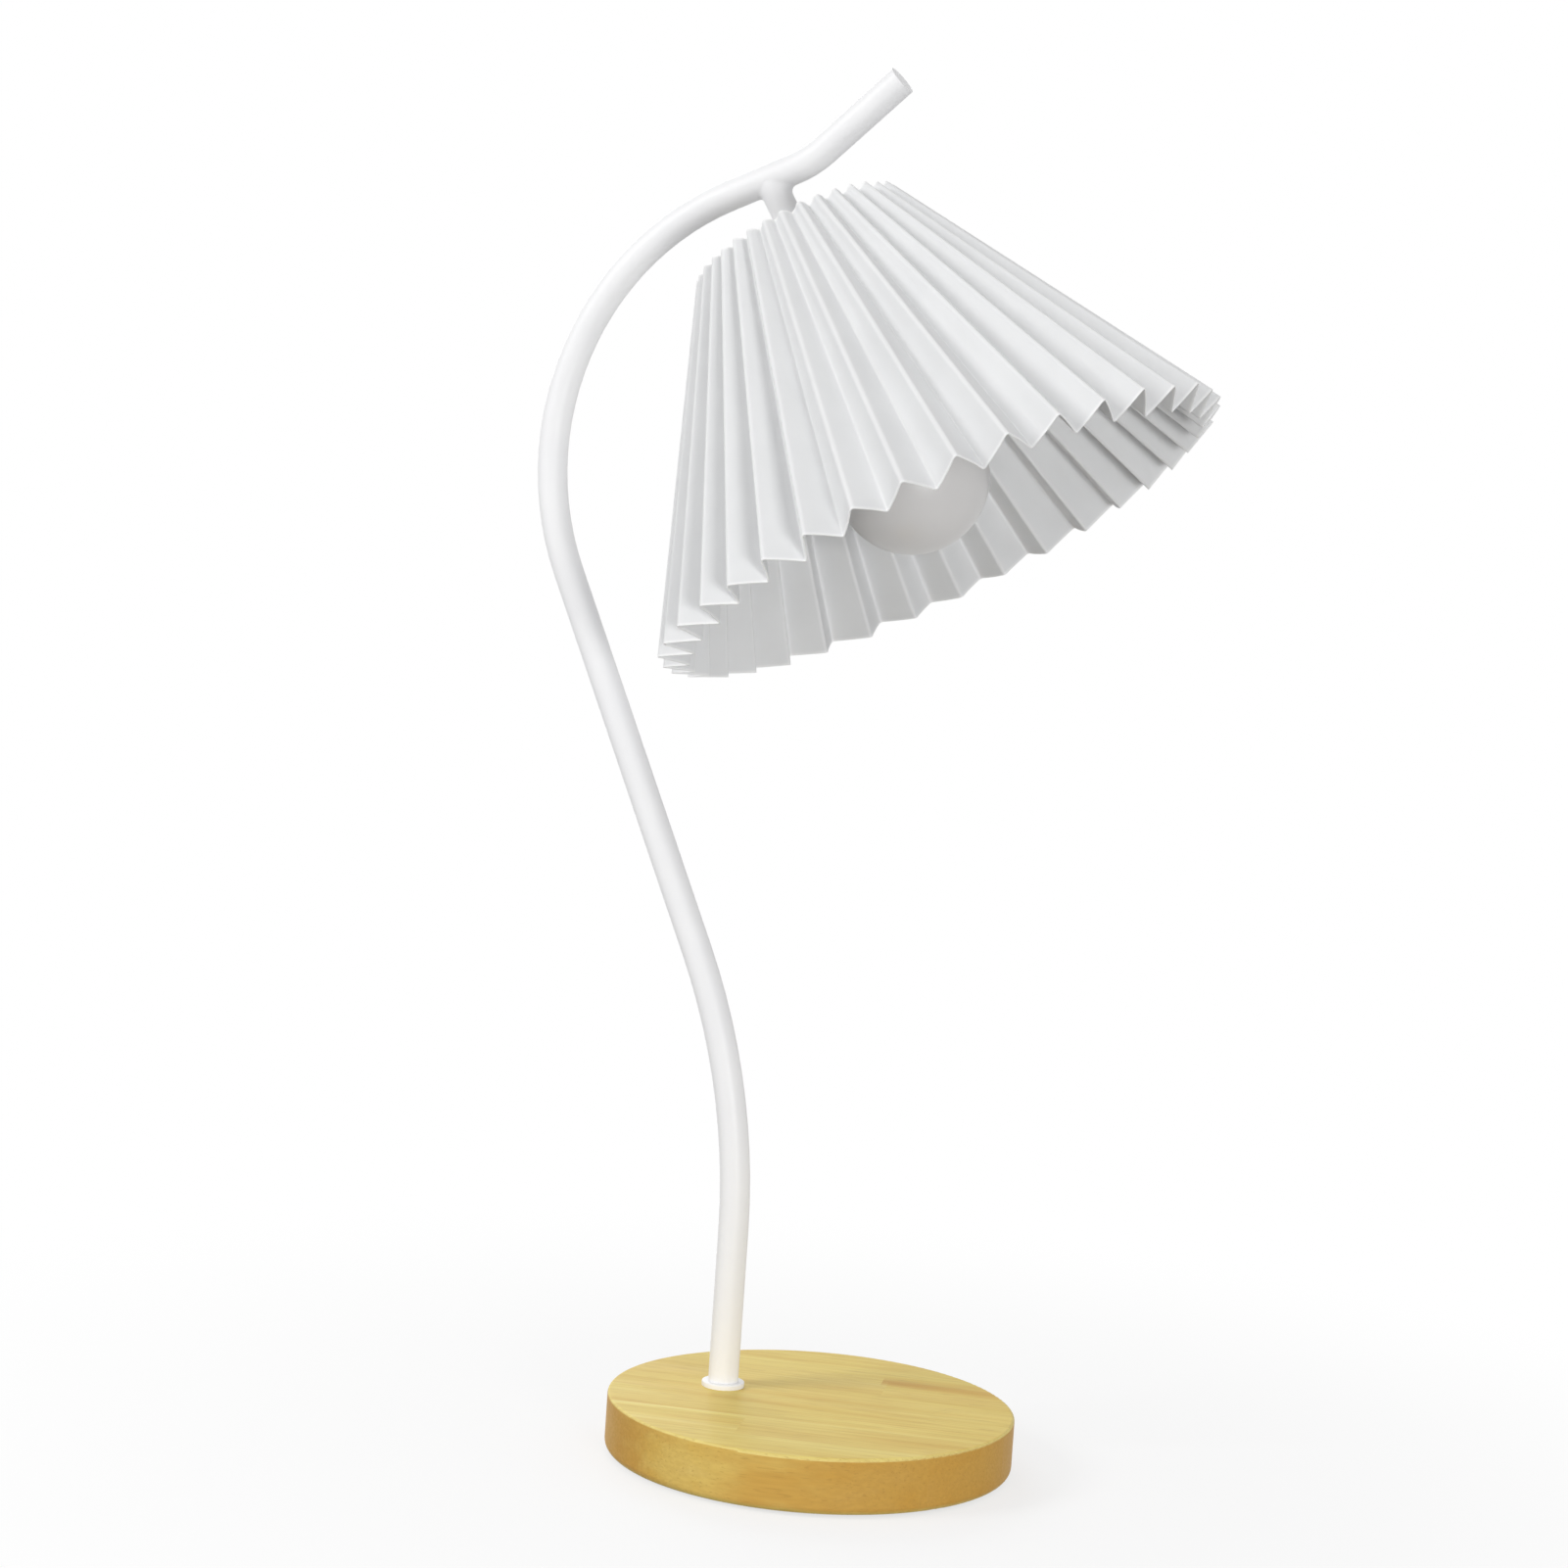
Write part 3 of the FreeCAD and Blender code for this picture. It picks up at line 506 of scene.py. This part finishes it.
inner_length = slant_length - 2 * rim_band
inner_drops = [rim_band + inner_length * row / (inner_rows - 1) for row in range(inner_rows)]
vertices = []
whiteness_and_highlight_marks = []
for drop in [0.0] + inner_drops + [slant_length]:
    points, whiteness_and_highlight = line_round(drop)
    vertices += points
    whiteness_and_highlight_marks += whiteness_and_highlight if drop in inner_drops else [rim_highlight] * len(whiteness_and_highlight)
row_count = inner_rows + 2
column_count = len(vertices) // row_count
faces = []
for row in range(row_count - 1):
    for column in range(column_count - 1):
        corner = row * column_count + column
        faces.append((corner, corner + column_count, corner + column_count + 1, corner + 1))
thin_mesh = bpy.data.meshes.new("thin_sheet")
thin_mesh.from_pydata(vertices, [], faces)
thin_mesh.attributes.new("whiteness_and_highlight", "FLOAT", "POINT").data.foreach_set("value", whiteness_and_highlight_marks)
thin_mesh.shade_smooth()
folded_shade = bpy.data.objects.new("folded_shade", thin_mesh)
bpy.context.scene.collection.objects.link(folded_shade)
thickness = folded_shade.modifiers.new("thickness", "SOLIDIFY")
thickness.thickness = sheet_thickness
thickness.offset = -1
thickness.use_even_offset = True
solid_view = folded_shade.evaluated_get(bpy.context.evaluated_depsgraph_get())
sheet_mesh = bpy.data.meshes.new_from_object(solid_view)
folded_shade.modifiers.clear()
folded_shade.data = sheet_mesh
sheet_mesh.set_sharp_from_angle(angle=sharp_turn)

sheet_tones = ((0.76, 0.765, 0.77, 1), (0.74, 0.745, 0.75, 1))
whiteness_and_highlight_white = (0.90, 0.90, 0.90, 1)
shade_sheet, tree, shader = new_finish("shade_sheet", {
    "IOR": 1.45, "Specular IOR Level": 0.35, "Subsurface Weight": 0.7,
    "Subsurface Radius": (1, 1, 1), "Subsurface Scale": sheet_thickness})
# Painted whitening and highlight along the creases, and a painted highlight along the cut rims.
whitened_and_highlit = put(tree, "ShaderNodeAttribute", attribute_name="whiteness_and_highlight").outputs["Fac"]
colour = tint(tree, whitened_and_highlit, drifting_colour(tree, sheet_tones, scale=45), whiteness_and_highlight_white)
tree.links.new(colour, shader.inputs["Base Color"])
lay_skin(tree, shader, scale=2600, smooth=0.5, rough=0.64, depth=0.00005)
sheet_mesh.materials.append(shade_sheet)

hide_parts("pleated_shade")
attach(folded_shade, "shade")


# The lamp stands on a plain white table under soft studio light. The table's brightness evens out to
# plain white away from the lamp, and it throws back a little light.
table_reach = 4.0
table_white = (0.9, 0.9, 0.9, 1)
table_dim = (0.36, 0.36, 0.36, 1)
white = (1, 1, 1, 1)
near_lamp = 0.12
far_from_lamp = 0.5
near_glow = 0.72
table_corners = [(-table_reach, -table_reach, 0), (table_reach, -table_reach, 0),
                 (table_reach, table_reach, 0), (-table_reach, table_reach, 0)]
table_mesh = bpy.data.meshes.new("table_top")
table_mesh.from_pydata(table_corners, [], [(0, 1, 2, 3)])
table_top = bpy.data.objects.new("table_top", table_mesh)
bpy.context.scene.collection.objects.link(table_top)


def seen_rays(tree):
    """One for rays from the camera, a mirror or a glass, and nothing for the rest."""
    rays = put(tree, "ShaderNodeLightPath").outputs
    seen = calc(tree, "MAXIMUM", rays["Is Camera Ray"], rays["Is Glossy Ray"])
    return calc(tree, "MAXIMUM", seen, rays["Is Transmission Ray"])


table_finish, tree, shader = new_finish("table_finish", {"Roughness": 0.9, "Specular IOR Level": 0})
seen = seen_rays(tree)
tree.links.new(tint(tree, seen, table_dim, table_white), shader.inputs["Base Color"])
place = put(tree, "ShaderNodeTexCoord").outputs["Object"]
from_lamp = reckon(tree, "LENGTH", place, (0, 0, 0)).outputs[1]
share = calc(tree, "MULTIPLY", seen, spread(tree, from_lamp, near_lamp, far_from_lamp, near_glow, 1))
glow = put(tree, "ShaderNodeEmission", {"Color": white, "Strength": 1})
blend = put(tree, "ShaderNodeMixShader", {0: share, 1: shader.outputs[0], 2: glow.outputs[0]})
tree.links.new(blend.outputs[0], tree.nodes["Material Output"].inputs["Surface"])
table_mesh.materials.append(table_finish)


# The light is an even bright room, a window on the front left, a low soft panel on the front right,
# which reaches into the shade, and a weak one behind. The camera looks from the front right.
room_light = 0.54
lamp_middle = (cad_low + cad_high) / 2
world = bpy.data.worlds.new("studio")
world.use_nodes = True
tree = world.node_tree
background = tree.nodes["Background"]
background.inputs["Color"].default_value = white
tree.links.new(spread(tree, seen_rays(tree), 0, 1, room_light, 1), background.inputs["Strength"])
bpy.context.scene.world = world


def soft_light(name, direction, distance, size, power):
    """A square soft light that faces the middle of the lamp."""
    data = bpy.data.lights.new(name, "AREA")
    data.size = size
    data.energy = power
    light = bpy.data.objects.new(name, data)
    offset = Vector(direction).normalized() * distance
    light.location = lamp_middle + offset
    light.rotation_mode = "QUATERNION"
    light.rotation_quaternion = offset.to_track_quat("Z", "Y")
    bpy.context.scene.collection.objects.link(light)


soft_light("window", direction=(-0.72, -0.69, 0.52), distance=1.8, size=0.6, power=13.5)
soft_light("front_panel", direction=(0.66, -0.75, -0.06), distance=1.6, size=0.4, power=12)
soft_light("back_panel", direction=(-0.60, 0.70, 0.45), distance=1.8, size=1.0, power=10)

camera_place = Vector((0.42269, -1.10069, 0.33387))
camera_aim = Vector((-0.0294, 0.0, 0.2634))
camera_roll = math.radians(3.918)
camera_data = bpy.data.cameras.new("camera")
camera_data.sensor_width = 36
camera_data.lens = 69.82
camera = bpy.data.objects.new("camera", camera_data)
camera.location = camera_place
camera.rotation_mode = "QUATERNION"
look = (camera_aim - camera_place).to_track_quat("-Z", "Y")
camera.rotation_quaternion = look @ Quaternion((0, 0, 1), camera_roll)
bpy.context.scene.collection.objects.link(camera)
bpy.context.scene.camera = camera
bpy.context.scene.view_settings.view_transform = "Standard"
